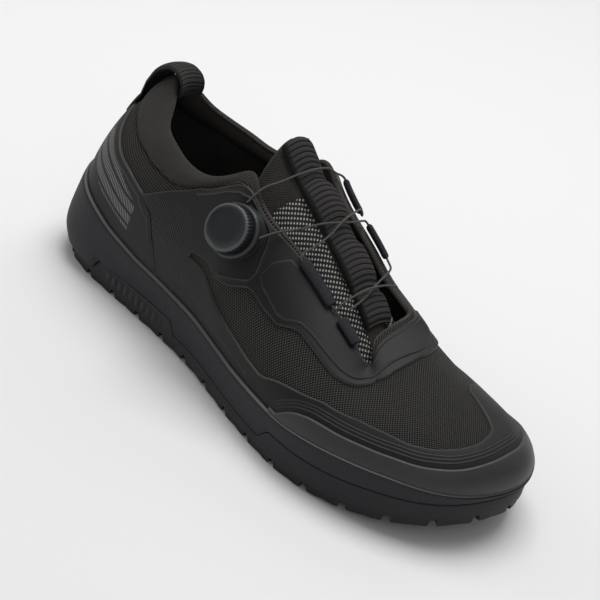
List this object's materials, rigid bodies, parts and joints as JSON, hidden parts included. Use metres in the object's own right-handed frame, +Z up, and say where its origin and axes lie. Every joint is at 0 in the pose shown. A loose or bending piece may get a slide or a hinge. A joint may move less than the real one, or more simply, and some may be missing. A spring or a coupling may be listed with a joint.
{
  "type": "cycling shoe",
  "caption": "Low flat-pedal cycling shoe for the right foot, with a knit collar, film overlays, lugged cup sole, ratchet lace dial and heel pull loop.",
  "frame": {"origin": "bottom centre of the whole shoe's box, on the floor", "axes": "+X from heel to toe, +Y to the inner side of the foot, +Z up"},
  "size_m": [0.3064, 0.1134, 0.1225],
  "materials": {
    "knit_mesh": "black knit and woven mesh",
    "midsole_foam": "charcoal foam with a fine texture",
    "outsole_rubber": "matte black rubber",
    "ribbed_tape": "ribbed woven tape",
    "lining_cloth": "black lining cloth",
    "moulded_film": "soft matte moulded film",
    "rand_rubber": "smooth satin rubber",
    "lace_cord": "smooth coated cord",
    "dial_plastic": "satin black plastic"
  },
  "bodies": {
    "root": {"outsole": "outsole_rubber", "midsole": "midsole_foam", "insole": "lining_cloth", "upper": "knit_mesh", "heel_panel": "moulded_film", "eyestay": "moulded_film", "rand_film": "moulded_film", "toe_rand": "rand_rubber", "tongue": "knit_mesh", "tongue_webbing": "ribbed_tape", "pull_loop": "ribbed_tape", "guide_lateral_upper": "ribbed_tape", "guide_lateral_lower": "ribbed_tape", "guide_medial_upper": "ribbed_tape", "guide_medial_lower": "ribbed_tape", "dial_base": "dial_plastic", "dial_knob": "dial_plastic", "lace_upper_run": "lace_cord", "lace_lower_run": "lace_cord"}
  },
  "joints": []
}
